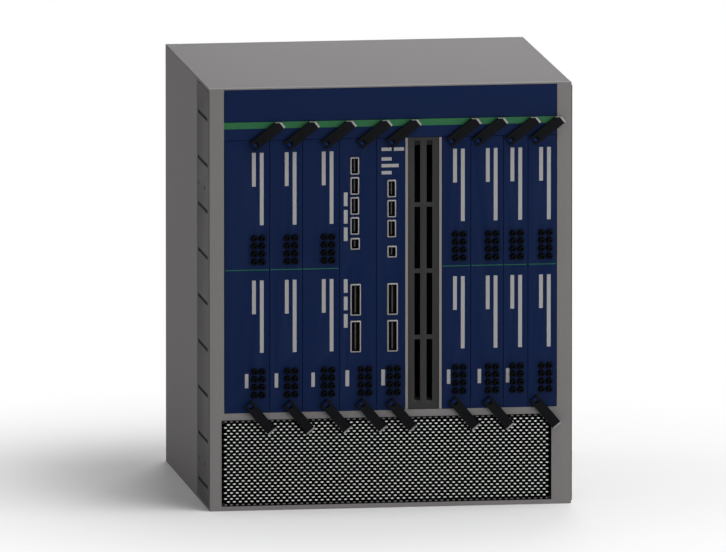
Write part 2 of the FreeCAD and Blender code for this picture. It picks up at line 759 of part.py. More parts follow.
def faceplate(card, left, width, lugs):
    """A blue plate with label recesses, port cut-outs on a service card, and the levers' hinge lugs."""
    body = move(part_body(card + "_plate"), left, PLATE_BACK, FACE_LOW)
    profile = sketch_on(body, card + "_plate_outline", "XZ_Plane")
    rectangle(profile, 0, 0, width, FACE_HEIGHT)
    if card in SERVICE_CARDS:
        for x, z, across, up in port_places(card):
            gap = size("port_gap")
            rectangle(profile, less(x, gap), less(z, gap), add(across, times(2, gap)), add(up, times(2, gap)))
    feature(body, "Pad", card + "_plate_sheet", profile, size("plate_thickness"))
    labels = sketch_on(body, card + "_labels", "XZ_Plane", size("plate_thickness"))
    if card in SERVICE_CARDS:
        service_labels(labels, card)
        tag = "service_tag"
    else:
        line_labels(labels, width)
        tag = "line_tag"
    if card + "_tag" in cells:
        rectangle(labels, less(width, size(card + "_tag")), size("tag_low"),
                  size(tag + "_width"), size(tag + "_length"))
    feature(body, "Pocket", card + "_label_seats", labels, size("label_recess"))
    return node(join(card + "_front", "Part::MultiFuse", [body, *lugs]), card + "_faceplate")


def jack_group(card, left, width, groups):
    """Hexagonal jacks in two columns of four, repeated up the faceplate."""
    body = move(part_body(card + "_jack_set"), left, FRONT, FACE_LOW)
    profile = sketch_on(body, card + "_jack_outline", "XZ_Plane")
    middle_x = less(width, size("jack_from_right"), size("jack_column_pitch"))
    middle_z = size("jack_low_row")
    corner = "cos(30deg)"
    reach = size("jack_radius")
    outline(profile, [
        (add(middle_x, reach), middle_z), (add(middle_x, half(reach)), add(middle_z, times(reach, corner))),
        (less(middle_x, half(reach)), add(middle_z, times(reach, corner))), (less(middle_x, reach), middle_z),
        (less(middle_x, half(reach)), less(middle_z, times(reach, corner))),
        (add(middle_x, half(reach)), less(middle_z, times(reach, corner))),
    ])
    jack = feature(body, "Pad", card + "_jack", profile, size("jack_length"))
    runs = [("X_Axis", size("jack_column_pitch"), 2), ("Z_Axis", size("jack_row_pitch"), 4)]
    if groups > 1:
        runs.append(("Z_Axis", size("jack_group_rise"), groups))
    grid(body, card + "_jack_field", jack, *runs)
    return body


def port_shells(card, left):
    """Open-fronted port housings that pass through the faceplate."""
    shells = []
    for number, (x, z, across, up) in enumerate(port_places(card)):
        name = f"{card}_port_{number}"
        wall = size("port_wall")
        low = (add(left, x), less(FRONT, size("port_proud")), add(FACE_LOW, z))
        deep = add(size("port_proud"), size("port_depth"))
        outer = block(name + "_outer", low, (across, deep, up))
        inner = block(
            name + "_inner", (add(low[0], wall), less(low[1], wall), add(low[2], wall)),
            (less(across, times(2, wall)), deep, less(up, times(2, wall))),
        )
        shell = doc.addObject("Part::Cut", name)
        shell.Base = outer
        shell.Tool = inner
        shells.append(shell)
    return shells


BOARD_LOW = add(Z_LOW_GUIDE, size("guide_height"), minus(size("groove_depth")), size("slide_gap"))
BOARD_HIGH = less(add(Z_HIGH_GUIDE, size("groove_depth")), size("guide_height"), size("slide_gap"))
PLUG_LOW = less(half(add(BOARD_LOW, BOARD_HIGH)), half(size("plug_height")))


def board(card, left):
    """A circuit board screwed behind the faceplate, with its backplane plug."""
    panel = block(card + "_panel", (add(left, size("board_offset")), PLATE_BACK, BOARD_LOW),
                  (size("board_thickness"), size("board_depth"), less(BOARD_HIGH, BOARD_LOW)))
    plug = block(card + "_plug",
                 (add(left, size("board_offset"), size("board_thickness")),
                  less(add(BOARD_END, size("plug_reach")), size("plug_length")), PLUG_LOW),
                 (size("plug_width"), size("plug_length"), size("plug_height")))
    return node(join(card + "_card", "Part::MultiFuse", [panel, plug]), card + "_board")


guide_lefts = []
for index, (card, *_) in enumerate(SLOTS):
    if card == "slot_filler":
        continue
    left = slot_left(index)
    width = FACE_WIDTH[card]
    board_middle = add(left, size("board_offset"), half(size("board_thickness")))
    guide_lefts.append(less(board_middle, half(size("guide_width"))))
    lugs = []
    for end, angle_name in (("top", "top_lever_angle"), ("bottom", "bottom_lever_angle")):
        if f"{card}_{end}_pivot" not in cells:
            continue
        angle = size(angle_name)
        x = less(add(left, width), size(f"{card}_{end}_pivot"))
        if end == "top":
            z = less(Z_HEADER, size("top_lever_drop"))
            clip = less(Z_BLOWER, z, size("plate_gap"))
        else:
            z = add(Z_CARDS, size("bottom_lever_rise"))
            clip = None
        lugs.append(hinge_lug(f"{card}_{end}_lug", x, z, angle))
        lever(f"{card}_{end}_lever", x, z, angle, clip)
    faceplate(card, left, width, lugs)
    board(card, left)
    if card in SERVICE_CARDS:
        jacks = jack_group(card, left, width, 1)
        ports = join(card + "_port_set", "Part::Compound", [*port_shells(card, left), jacks])
        node(ports, card + "_ports")
    else:
        node(jack_group(card, left, width, 2), card + "_jacks")

# Card guides: a lower and an upper frame of grooved bars; the upper frame's side beams carry the blower tray


def guide_frame(name, low, groove_low, web_low, beams):
    front = add(FRONT, size("rail_depth"))
    bars = []
    for number, left in enumerate(guide_lefts):
        bars.append(block(f"{name}_bar_{number}", (left, RAIL_FACE, low),
                          (size("guide_width"), less(BACKPLANE_FRONT, RAIL_FACE), size("guide_height"))))
    for number, start in enumerate((front, less(BACKPLANE_FRONT, size("guide_bar")))):
        bars.append(block(f"{name}_cross_{number}", (minus(INNER), start, web_low),
                          (times(2, INNER), size("guide_bar"), size("guide_web"))))
    for number, left in enumerate(beams):
        bars.append(block(f"{name}_beam_{number}", (left, front, Z_HIGH_GUIDE),
                          (size("guide_beam"), less(BACKPLANE_FRONT, front), less(Z_BLOWER, Z_HIGH_GUIDE))))
    solid = join(name + "_bars", "Part::MultiFuse", bars)
    grooves = []
    for number, left in enumerate(guide_lefts):
        middle = add(left, half(size("guide_width")))
        groove_left = less(middle, half(size("board_thickness")), size("slide_gap"))
        groove_front = less(RAIL_FACE, size("groove_overrun"))
        grooves.append(block(f"{name}_groove_{number}", (groove_left, groove_front, groove_low),
                             (add(size("board_thickness"), times(2, size("slide_gap"))),
                              less(BACKPLANE_FRONT, RAIL_FACE), size("groove_depth"))))
    shape = doc.addObject("Part::Cut", name)
    shape.Base = solid
    shape.Tool = join(name + "_grooves", "Part::MultiFuse", grooves)
    return shape


LOW_GROOVE = less(add(Z_LOW_GUIDE, size("guide_height")), size("groove_depth"))
lower_guides = guide_frame(
    "lower_guides", Z_LOW_GUIDE, LOW_GROOVE, less(Z_LOW_GUIDE, half(size("guide_web"))), [],
)
upper_guides = guide_frame(
    "upper_guides", less(Z_HIGH_GUIDE, size("guide_height")), less(Z_HIGH_GUIDE, size("guide_height")),
    less(Z_HIGH_GUIDE, half(size("guide_web"))), [minus(INNER), less(INNER, size("guide_beam"))],
)
node(join("guide_pair", "Part::Compound", [lower_guides, upper_guides]), "card_guides")

# Backplane: a board across the chassis with one socket behind each card

pieces = [block("backplane_board", (minus(INNER), BACKPLANE_FRONT, Z_CARDS),
                (times(2, INNER), size("backplane_thickness"), size("plate_height")))]
for number, left in enumerate(guide_lefts):
    socket_left = add(left, half(size("guide_width")), half(size("board_thickness")))
    pieces.append(block(f"socket_{number}", (socket_left, SOCKET_FRONT, PLUG_LOW),
                        (size("plug_width"), size("socket_depth"), size("plug_height"))))
node(join("backplane_set", "Part::MultiFuse", pieces), "backplane")

# Blower module: a bezel on an open tray, with a spindle over each inlet

BEZEL_LOW = add(Z_BLOWER, half(size("plate_gap")))
bezel = move(part_body("bezel"), y=PLATE_BACK)
profile = sketch_on(bezel, "bezel_outline", "XZ_Plane")
rectangle(profile, minus(half(BAY)), BEZEL_LOW, BAY, less(size("blower_height"), size("plate_gap")))
feature(bezel, "Pad", "bezel_sheet", profile, size("plate_thickness"))
node(bezel, "blower_bezel")

TRAY_LOW = add(Z_BLOWER, size("tray_gap"))
TRAY_FLOOR = add(TRAY_LOW, size("tray_sheet"))
TRAY_HALF = less(half(BAY), size("tray_gap"))
TRAY_END = add(PLATE_BACK, size("tray_depth"))
IMPELLER_X = half(half(BAY))
IMPELLER_Y = add(PLATE_BACK, size("impeller_back"))
tray = move(part_body("tray"), y=TRAY_END)
profile = sketch_on(tray, "tray_profile", "XZ_Plane")
TRAY_IN = less(TRAY_HALF, size("tray_sheet"))
outline(profile, [
    (minus(TRAY_HALF), TRAY_LOW), (TRAY_HALF, TRAY_LOW), (TRAY_HALF, add(TRAY_LOW, size("tray_wall"))),
    (TRAY_IN, add(TRAY_LOW, size("tray_wall"))), (TRAY_IN, TRAY_FLOOR), (minus(TRAY_IN), TRAY_FLOOR),
    (minus(TRAY_IN), add(TRAY_LOW, size("tray_wall"))), (minus(TRAY_HALF), add(TRAY_LOW, size("tray_wall"))),
])
feature(tray, "Pad", "tray_trough", profile, size("tray_depth"))
SPINDLE_Y = less(IMPELLER_Y, TRAY_END)
inlets = sketch_on(tray, "tray_inlets", "XY_Plane")
for side in (-1, 1):
    circle(inlets, times(side, IMPELLER_X), SPINDLE_Y, size("inlet_radius"))
feature(tray, "Pocket", "tray_inlet_cut", inlets, through=True, symmetric=True)
for side, word in ((-1, "left"), (1, "right")):
    arm = add(size("inlet_radius"), size("tray_sheet"))
    middle = times(side, IMPELLER_X)
    for across, name in ((True, "bar"), (False, "beam")):
        spider = sketch_on(tray, f"tray_{word}_{name}", "XY_Plane", TRAY_LOW)
        span, depth = (arm, half(size("spider_width"))) if across else (half(size("spider_width")), arm)
        rectangle(spider, less(middle, span), less(SPINDLE_Y, depth), times(2, span), times(2, depth))
        feature(tray, "Pad", f"tray_{word}_{name}_arm", spider, size("tray_sheet"))
    post = sketch_on(tray, f"tray_{word}_post", "XY_Plane", TRAY_LOW)
    circle(post, middle, SPINDLE_Y, size("spindle_radius"))
    feature(tray, "Pad", f"tray_{word}_spindle", post, add(size("tray_sheet"), size("impeller_height")))
node(tray, "blower_tray")

BLADES = 9
for side, word in ((-1, "left"), (1, "right")):
    wheel = part_body("wheel_" + word)
    move(wheel, times(side, IMPELLER_X), IMPELLER_Y, add(TRAY_FLOOR, size("tray_gap")))
    hub = sketch_on(wheel, f"hub_{word}_outline", "XY_Plane")
    circle(hub, 0, 0, size("hub_radius"))
    feature(wheel, "Pad", f"hub_{word}", hub, size("impeller_height"))
    disc_low = less(size("impeller_height"), size("disc_thickness"))
    disc = sketch_on(wheel, f"disc_{word}_outline", "XY_Plane", disc_low)
    circle(disc, 0, 0, size("impeller_radius"))
    feature(wheel, "Pad", f"disc_{word}", disc, size("disc_thickness"))
    blade = sketch_on(wheel, f"blade_{word}_outline", "XY_Plane", size("disc_thickness"))
    rectangle(blade, size("blade_inner"), times(-1, half(size("blade_length"))),
              size("blade_thickness"), add(size("blade_length"), half(size("blade_length"))))
    blade_height = less(size("impeller_height"), times(2, size("disc_thickness")))
    vane = feature(wheel, "Pad", f"blade_{word}", blade, blade_height)
    ring = wheel.newObject("PartDesign::PolarPattern", f"blades_{word}")
    ring.Originals = [vane]
    ring.Axis = (origin_of(wheel, "Z_Axis"), [""])
    ring.Angle = 360
    ring.Occurrences = BLADES
    wheel.Tip = ring
    doc.recompute()
    bore = sketch_on(wheel, f"bore_{word}_outline", "XY_Plane")
    circle(bore, 0, 0, add(size("spindle_radius"), size("spindle_gap")))
    feature(wheel, "Pocket", f"bore_{word}", bore, through=True, symmetric=True)
    node(wheel, "impeller_" + word)

# Power modules: two closed feeds on the floor, with terminal blocks and studs through the rear panel, and bus
# bars from the front of each feed up the back of the backplane

FEED_BACK = less(REAR, size("sheet_metal"))
BUS_FRONT = add(BACKPLANE_FRONT, size("backplane_thickness"))
FEED_FRONT = add(BUS_FRONT, size("bus_thickness"))
BUS_LOW = less(add(size("sheet_metal"), size("feed_height")), size("bus_overlap"))
BUS_HEIGHT = less(add(Z_CARDS, size("bus_rise")), BUS_LOW)
feeds = []
for side, word in ((-1, "left"), (1, "right")):
    middle = half(times(side, size("feed_spacing")))
    case_low = (less(middle, half(size("feed_width"))), FEED_FRONT, size("sheet_metal"))
    case = block("feed_case_" + word, case_low,
                 (size("feed_width"), less(FEED_BACK, FEED_FRONT), size("feed_height")))
    terminal_left = less(middle, half(size("terminal_width")))
    terminal_low = (terminal_left, less(FEED_BACK, size("terminal_root")), size("terminal_low"))
    terminal_deep = add(size("terminal_root"), size("sheet_metal"), size("terminal_reach"))
    terminal = block("feed_terminal_" + word, terminal_low,
                     (size("terminal_width"), terminal_deep, size("terminal_height")))
    parts = [case, terminal]
    for number, step in enumerate((-1, 1)):
        bus_left = less(add(middle, half(times(step, size("bus_spread")))), half(size("bus_width")))
        parts.append(block(f"bus_bar_{word}_{number}", (bus_left, BUS_FRONT, BUS_LOW),
                           (size("bus_width"), size("bus_thickness"), BUS_HEIGHT)))
        stud = doc.addObject("Part::Cylinder", f"feed_stud_{word}_{number}")
        stud.setExpression("Radius", size("stud_radius"))
        stud.setExpression("Height", size("stud_length"))
        place = (add(middle, half(times(step, size("stud_spread")))), add(REAR, size("terminal_reach")),
                 add(size("terminal_low"), half(size("terminal_height"))))
        turn = "rotation(vector(1; 0; 0); -90)"
        stud.setExpression("Placement", f"placement(vector({'; '.join(place)}); {turn})")
        parts.append(stud)
    feeds.append(join("feed_" + word, "Part::MultiFuse", parts))
node(join("feed_pair", "Part::Compound", feeds), "power_modules")

# Recompute, check and write

doc.recompute()
failed = [thing.Name for thing in doc.Objects if {"Invalid", "Error"} & set(thing.State)]
if failed:
    raise RuntimeError("these objects failed: " + ", ".join(failed))
for thing in nodes:
    if thing.Shape.isNull() or not thing.Shape.isValid() or not thing.Shape.Solids:
        raise RuntimeError(thing.Label + " has no valid solid")
os.makedirs("parts", exist_ok=True)
for thing in nodes:
    thing.Shape.exportStep(f"parts/{thing.Label}.step")
print(len(nodes), "nodes written")
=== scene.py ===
import bmesh
import bpy
import json
from math import cos, pi, radians, sin, tau
from mathutils import Matrix, Vector


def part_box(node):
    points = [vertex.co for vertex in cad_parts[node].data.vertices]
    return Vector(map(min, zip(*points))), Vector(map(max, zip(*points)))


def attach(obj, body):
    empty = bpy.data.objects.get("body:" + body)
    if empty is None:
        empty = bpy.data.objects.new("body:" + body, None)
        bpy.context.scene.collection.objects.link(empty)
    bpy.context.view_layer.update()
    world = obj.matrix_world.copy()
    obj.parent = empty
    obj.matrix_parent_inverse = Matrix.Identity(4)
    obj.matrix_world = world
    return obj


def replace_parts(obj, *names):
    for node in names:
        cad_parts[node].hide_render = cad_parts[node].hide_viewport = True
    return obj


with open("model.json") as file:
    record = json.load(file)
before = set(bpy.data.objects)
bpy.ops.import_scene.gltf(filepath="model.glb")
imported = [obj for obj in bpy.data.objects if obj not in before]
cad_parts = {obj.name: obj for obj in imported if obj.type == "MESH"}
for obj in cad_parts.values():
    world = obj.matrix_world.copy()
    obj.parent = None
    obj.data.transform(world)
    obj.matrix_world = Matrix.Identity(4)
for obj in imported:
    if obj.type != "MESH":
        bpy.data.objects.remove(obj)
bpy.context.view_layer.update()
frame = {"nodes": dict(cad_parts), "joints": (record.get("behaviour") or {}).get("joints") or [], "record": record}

# Chassis: floor and side walls folded from one steel sheet, a lid whose skirts drop inside the walls, and a
# rear panel pierced behind the blowers. All are powder coated in a fine-grained warm grey.

sheet_edge = 0.0004
coat_grain = 0.0009
coat_spread = 0.05
coat_relief = 0.00004
grain_detail = 3
grain_stops = (0.3, 0.7)
relief_strength = 0.5
weld_gap = 1e-6
flat_angle = radians(1)
smooth_angle = radians(20)
sharp_angle = radians(30)
edge_steps = 2
round_profile = 0.5
bodies = frame["record"]["behaviour"]["bodies"]
body_of = {node: body for body, members in bodies.items() for node in members}


def tone(code):
    """A colour written as six hex digits, in linear light."""
    values = [int(code[i:i + 2], 16) / 255 for i in (0, 2, 4)]
    return (*[v / 12.92 if v <= 0.04045 else ((v + 0.055) / 1.055) ** 2.4 for v in values], 1)


def coat(name, colour, roughness, grain=0.0, spread=0.0, depth=0.0, metallic=0.0, sheen=0.1):
    """A finish of one colour, with a grain that varies its tone and lifts its surface."""
    finish = bpy.data.materials.new(name)
    finish.use_nodes = True
    nodes, links = finish.node_tree.nodes, finish.node_tree.links
    shader = nodes["Principled BSDF"]
    shader.inputs["Base Color"].default_value = tone(colour)
    shader.inputs["Roughness"].default_value = roughness
    shader.inputs["Metallic"].default_value = metallic
    shader.inputs["Specular IOR Level"].default_value = sheen
    if grain:
        place = nodes.new("ShaderNodeTexCoord")
        noise = nodes.new("ShaderNodeTexNoise")
        noise.inputs["Scale"].default_value = 1 / grain
        noise.inputs["Detail"].default_value = grain_detail
        links.new(place.outputs["Object"], noise.inputs["Vector"])
        if spread:
            ramp = nodes.new("ShaderNodeValToRGB")
            stops = zip(ramp.color_ramp.elements, grain_stops, (1 - spread, 1 + spread))
            for stop, position, share in stops:
                stop.color = (*[min(1, c * share) for c in tone(colour)[:3]], 1)
                stop.position = position
            links.new(noise.outputs["Fac"], ramp.inputs["Fac"])
            links.new(ramp.outputs["Color"], shader.inputs["Base Color"])
        if depth:
            bump = nodes.new("ShaderNodeBump")
            bump.inputs["Strength"].default_value = relief_strength
            bump.inputs["Distance"].default_value = depth
            links.new(noise.outputs["Fac"], bump.inputs["Height"])
            links.new(bump.outputs["Normal"], shader.inputs["Normal"])
    return finish


def welded(node):
    """A CAD piece as a mesh of whole faces."""
    form = bmesh.new()
    form.from_mesh(frame["nodes"][node].data)
    bmesh.ops.remove_doubles(form, verts=form.verts, dist=weld_gap)
    bmesh.ops.dissolve_limit(form, angle_limit=flat_angle, verts=form.verts, edges=form.edges)
    return form


def piece_from(form, name, body, slot, *finishes):
    """A finished piece that rides on a body, in the finishes it is given; the slot it is handed is not used."""
    mesh = bpy.data.meshes.new(name)
    form.to_mesh(mesh)
    form.free()
    for finish in finishes:
        mesh.materials.append(finish)
    mesh.polygons.foreach_set("use_smooth", [True] * len(mesh.polygons))
    mesh.set_sharp_from_angle(angle=smooth_angle)
    piece = bpy.data.objects.new(name, mesh)
    bpy.context.scene.collection.objects.link(piece)
    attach(piece, body)
    return piece


def dressed(node, slot, edge, *finishes, choose=None):
    """A CAD piece with its edges eased, in the finish that choose picks for each face."""
    form = welded(node)
    sharp = [e for e in form.edges if len(e.link_faces) == 2 and e.calc_face_angle(0) > sharp_angle]
    bmesh.ops.bevel(form, geom=sharp, offset=edge, segments=edge_steps, profile=round_profile,
                    affect="EDGES", clamp_overlap=True)
    if choose:
        for face in form.faces:
            face.material_index = choose(face)
    piece = piece_from(form, node + "_finish", body_of[node], slot, *finishes)
    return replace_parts(piece, node)


chassis_grey = coat("warm_grey_powder_coat", "6c6969", 0.6, grain=coat_grain, spread=coat_spread,
                    depth=coat_relief, sheen=0.03)
for node in ("chassis_tub", "top_cover", "rear_panel"):
    dressed(node, "chassis_grey", sheet_edge, chassis_grey)

# Front frame: columns, strips and crossbar cast as one frame that the cards and the grille sit in. It is
# powder coated a shade lighter than the lid.

frame_edge = 0.0005
frame_grey = coat("frame_grey_powder_coat", "787575", 0.6, grain=coat_grain, spread=coat_spread,
                  depth=coat_relief, sheen=0.03)
dressed("front_frame", "chassis_grey", frame_edge, frame_grey)

# Side rails: thin steel strips along the front of both side walls, in a darker grey, pierced with long slots.
# Behind each slot lies a thin near-black plate on the wall, painted shade for the slot's shadow.

strip_edge = 0.0002
shade_plate_thickness = 0.0002
slot_reach = 0.05
facing = 0.9
strip_grey = coat("strip_grey_powder_coat", "4a4848", 0.6, grain=coat_grain, spread=coat_spread,
                  depth=coat_relief, sheen=0.03)
# Near-black finish of the plates behind the slots: painted shade standing in for the slots' shadow.
slot_shade_black = coat("black_foam_tape", "1f2024", 0.8, sheen=0.02)


def plate(low, high):
    """A plain block between two corners."""
    form = bmesh.new()
    bmesh.ops.create_cube(form, size=1)
    span = Vector(high) - Vector(low)
    for vert in form.verts:
        vert.co = Vector(low) + Vector([(c + 0.5) * s for c, s in zip(vert.co, span)])
    return form


def together(*forms):
    """Several forms as one."""
    whole = forms[0]
    for form in forms[1:]:
        spare = bpy.data.meshes.new("spare")
        form.to_mesh(spare)
        form.free()
        whole.from_mesh(spare)
        bpy.data.meshes.remove(spare)
    return whole


def corners(face):
    """The least and greatest corners of a face's box."""
    points = [v.co for v in face.verts]
    return [Vector([pick(p[i] for p in points) for i in range(3)]) for pick in (min, max)]


dressed("side_rails", "strip_grey", strip_edge, strip_grey)
rails_low, rails_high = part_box("side_rails")
form = welded("side_rails")
sills, heads = [], []
for face in form.faces:
    low, high = corners(face)
    if high.y - low.y > slot_reach and rails_low.z + strip_edge < low.z < rails_high.z - strip_edge:
        if face.normal.z > facing:
            sills.append((low, high))
        elif face.normal.z < -facing:
            heads.append((low, high))
form.free()
for slots in (sills, heads):
    slots.sort(key=lambda ends: (ends[0].x, ends[0].z))
# Thin near-black plates against the walls behind the slots, as painted shade.
shade_plates = []
for (low, _), (_, high) in zip(sills, heads):
    if low.x > 0:
        high.x = low.x + shade_plate_thickness
    else:
        low.x = high.x - shade_plate_thickness
    shade_plates.append(plate(low, high))
piece_from(together(*shade_plates), "strip_slot_tapes", "chassis", "strip_grey", slot_shade_black)

# Intake grille: a thin black painted sheet punched with staggered oval holes, seated in a rebate of the frame
# and screwed down at its corners.

grille_gauge = 0.0004
hole_pitch = 0.00725
row_pitch = 0.00368
hole_half_width = 0.0019
hole_half_height = 0.00092
hole_sides = 12
pattern_smooth_angle = radians(28)


def lattice_tree():
    """Copies one shape along three steps, as a row of rows of groups."""
    tree = bpy.data.node_groups.new("lattice", "GeometryNodeTree")
    kinds = {"Shape": "Object", "Finish": "Material", "Start": "Vector"}
    for run in ("Across", "Up", "Group"):
        kinds[run + " Step"] = "Vector"
        kinds[run + " Count"] = "Int"
    tree.interface.new_socket("Geometry", in_out="INPUT", socket_type="NodeSocketGeometry")
    ids = {}
    for label, kind in kinds.items():
        socket = tree.interface.new_socket(label, in_out="INPUT", socket_type="NodeSocket" + kind)
        ids[label] = socket.identifier
    tree.interface.new_socket("Geometry", in_out="OUTPUT", socket_type="NodeSocketGeometry")
    nodes, links = tree.nodes, tree.links
    given = nodes.new("NodeGroupInput")
    result = nodes.new("NodeGroupOutput")
    points = None
    for run in ("Group", "Up", "Across"):
        line = nodes.new("GeometryNodeMeshLine")
        links.new(given.outputs[run + " Count"], line.inputs["Count"])
        links.new(given.outputs[run + " Step"], line.inputs["Offset"])
        if points is None:
            links.new(given.outputs["Start"], line.inputs["Start Location"])
            points = line.outputs["Mesh"]
            continue
        spread = nodes.new("GeometryNodeInstanceOnPoints")
        whole = nodes.new("GeometryNodeRealizeInstances")
        links.new(points, spread.inputs["Points"])
        links.new(line.outputs["Mesh"], spread.inputs["Instance"])
        links.new(spread.outputs["Instances"], whole.inputs["Geometry"])
        points = whole.outputs["Geometry"]
    shape = nodes.new("GeometryNodeObjectInfo")
    spread = nodes.new("GeometryNodeInstanceOnPoints")
    whole = nodes.new("GeometryNodeRealizeInstances")
    paint = nodes.new("GeometryNodeSetMaterial")
    links.new(given.outputs["Shape"], shape.inputs["Object"])
    links.new(points, spread.inputs["Points"])
    links.new(shape.outputs["Geometry"], spread.inputs["Instance"])
    links.new(spread.outputs["Instances"], whole.inputs["Geometry"])
    links.new(whole.outputs["Geometry"], paint.inputs["Geometry"])
    links.new(given.outputs["Finish"], paint.inputs["Material"])
    links.new(paint.outputs["Geometry"], result.inputs["Geometry"])
    return tree, ids


lattice, lattice_ids = lattice_tree()


def repeated(name, body, form, finish, start, across, up=((0, 0, 0), 1), group=((0, 0, 0), 1)):
    """One mesh of a small shape repeated along up to three steps."""
    pattern = bpy.data.meshes.new(name + "_pattern")
    form.to_mesh(pattern)
    form.free()
    pattern.polygons.foreach_set("use_smooth", [True] * len(pattern.polygons))
    pattern.set_sharp_from_angle(angle=pattern_smooth_angle)
    shape = bpy.data.objects.new(name + "_pattern", pattern)
    bpy.context.scene.collection.objects.link(shape)
    piece = bpy.data.objects.new(name, bpy.data.meshes.new(name + "_host"))
    bpy.context.scene.collection.objects.link(piece)
    maker = piece.modifiers.new("lattice", "NODES")
    maker.node_group = lattice
    values = {"Shape": shape, "Finish": finish, "Start": tuple(start)}
    for run, (step, count) in (("Across", across), ("Up", up), ("Group", group)):
        values[run + " Step"] = tuple(step)
        values[run + " Count"] = count
    for label, value in values.items():
        maker[lattice_ids[label]] = value
    scene_state = bpy.context.evaluated_depsgraph_get()
    made = bpy.data.meshes.new_from_object(piece.evaluated_get(scene_state), depsgraph=scene_state)
    piece.modifiers.clear()
    piece.data = made
    bpy.data.objects.remove(shape)
    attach(piece, body)
    return piece


def punched_cell(thickness):
    """One cell of the sheet with an oval hole through it, centred on the origin."""
    form = bmesh.new()
    rings = []
    for y in (-thickness / 2, thickness / 2):
        outer, inner = [], []
        for i in range(hole_sides):
            turn = tau * (i + 0.5) / hole_sides
            x, z = cos(turn), sin(turn)
            reach = 1 / max(abs(x), abs(z))
            outer.append(form.verts.new((x * reach * hole_pitch / 2, y, z * reach * row_pitch / 2)))
            inner.append(form.verts.new((x * hole_half_width, y, z * hole_half_height)))
        rings.append((outer, inner))
    for i in range(hole_sides):
        j = (i + 1) % hole_sides
        for outer, inner in rings:
            form.faces.new((outer[i], outer[j], inner[j], inner[i]))
        for near, far in zip(*rings):
            form.faces.new((near[i], near[j], far[j], far[i]))
    bmesh.ops.recalc_face_normals(form, faces=form.faces)
    return form


grille_black = coat("black_grille_paint", "030304", 0.6, sheen=0.01)
grille_low, grille_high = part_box("intake_grille")
grille_low.y = grille_high.y - grille_gauge
grille_middle = (grille_low + grille_high) / 2
grille_size = grille_high - grille_low
columns = int(grille_size.x / hole_pitch)
rows = int(grille_size.z / row_pitch)
field_low = grille_middle - Vector(((columns - 1) * hole_pitch / 2, 0, (rows - 1) * row_pitch / 2))
cells = repeated(
    "grille_full_rows", "chassis", punched_cell(grille_size.y), grille_black, field_low,
    across=((hole_pitch, 0, 0), columns), up=((0, 0, 2 * row_pitch), (rows + 1) // 2),
)
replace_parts(cells, "intake_grille")
repeated(
    "grille_shifted_rows", "chassis", punched_cell(grille_size.y), grille_black,
    field_low + Vector((hole_pitch / 2, 0, row_pitch)),
    across=((hole_pitch, 0, 0), columns - 1), up=((0, 0, 2 * row_pitch), rows // 2),
)
half_cell = Vector((hole_pitch / 4, grille_size.y / 2, row_pitch / 2))
repeated(
    "grille_row_ends", "chassis", plate(-half_cell, half_cell), grille_black,
    field_low + Vector((-hole_pitch / 4, 0, row_pitch)),
    across=(((columns - 0.5) * hole_pitch, 0, 0), 2), up=((0, 0, 2 * row_pitch), rows // 2),
)
field_half = Vector((columns * hole_pitch / 2, 0, rows * row_pitch / 2))
for word, low, high in (
    ("left", grille_low, (grille_middle.x - field_half.x, grille_high.y, grille_high.z)),
    ("right", (grille_middle.x + field_half.x, grille_low.y, grille_low.z), grille_high),
    ("foot", (grille_middle.x - field_half.x, grille_low.y, grille_low.z),
     (grille_middle.x + field_half.x, grille_high.y, grille_middle.z - field_half.z)),
    ("head", (grille_middle.x - field_half.x, grille_low.y, grille_middle.z + field_half.z),
     (grille_middle.x + field_half.x, grille_high.y, grille_high.z)),
):
    piece_from(plate(low, high), f"grille_{word}_margin", "chassis", "grille_black", grille_black)

# Air filter: a pad of white fleece laid against the back of the frame, with a raised face that fills the
# frame's window up to the grille.

filter_white = coat("white_fleece", "fbfbf8", 0.9, grain=0.0012, spread=0.03, depth=0.0001)
dressed("air_filter", "filter_white", sheet_edge, filter_white)

# Upper rail: an extruded aluminium channel over the cards, with a blue nose and a green trim strip laid in the
# shallow recess along its top. Its faces behind the nose are painted near black as painted shade.

plate_edge = 0.00015
nose_depth = 0.002
trim_height = 0.0081
trim_thickness = 0.00045
trim_recess = 0.0005
trim_clear = 0.0001
card_blue = coat("satin_blue_paint", "0b1c3f", 0.45, grain=0.0006, spread=0.03, depth=0.00002, sheen=0.04)
trim_green = coat("green_trim", "245f3a", 0.42)
# Near-black painted shade for the rail's faces behind its blue nose.
rail_shade_black = coat("dark_rail_inside", "141416", 0.6)
rail_low, rail_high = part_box("upper_rail")
# Every face behind the nose takes the painted shade.
dressed("upper_rail", "card_blue", plate_edge, card_blue, rail_shade_black,
        choose=lambda face: int(face.calc_center_median().y > rail_low.y + nose_depth))
trim_back = rail_low.y + trim_recess
trim_top = rail_high.z - trim_clear
piece_from(
    plate((rail_low.x, trim_back - trim_thickness, trim_top - trim_height),
          (rail_high.x, trim_back, trim_top)),
    "green_trim_strip", "chassis", "card_blue", trim_green,
)

# Slot filler: a folded dark steel channel over the empty slot. Its flanges' edges are light grey, and its web
# is pierced with long slots.

flange_edge = 0.0004
filler_grey = coat("dark_filler_paint", "2d2c2c", 0.5, grain=coat_grain, spread=0.04, depth=0.00003)
flange_grey = coat("light_flange", "807d7d", 0.5)
filler_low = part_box("slot_filler")[0]
dressed(
    "slot_filler", "filler_grey", strip_edge, filler_grey, flange_grey,
    choose=lambda face: int(face.calc_center_median().y < filler_low.y + flange_edge),
)

# Faceplates: punched aluminium plates painted the rail's blue, with pale label strips bedded in shallow seats
# and a line of green dashes printed across the line cards. The service cards' lowest label is wider than its
# seat and lies over it.

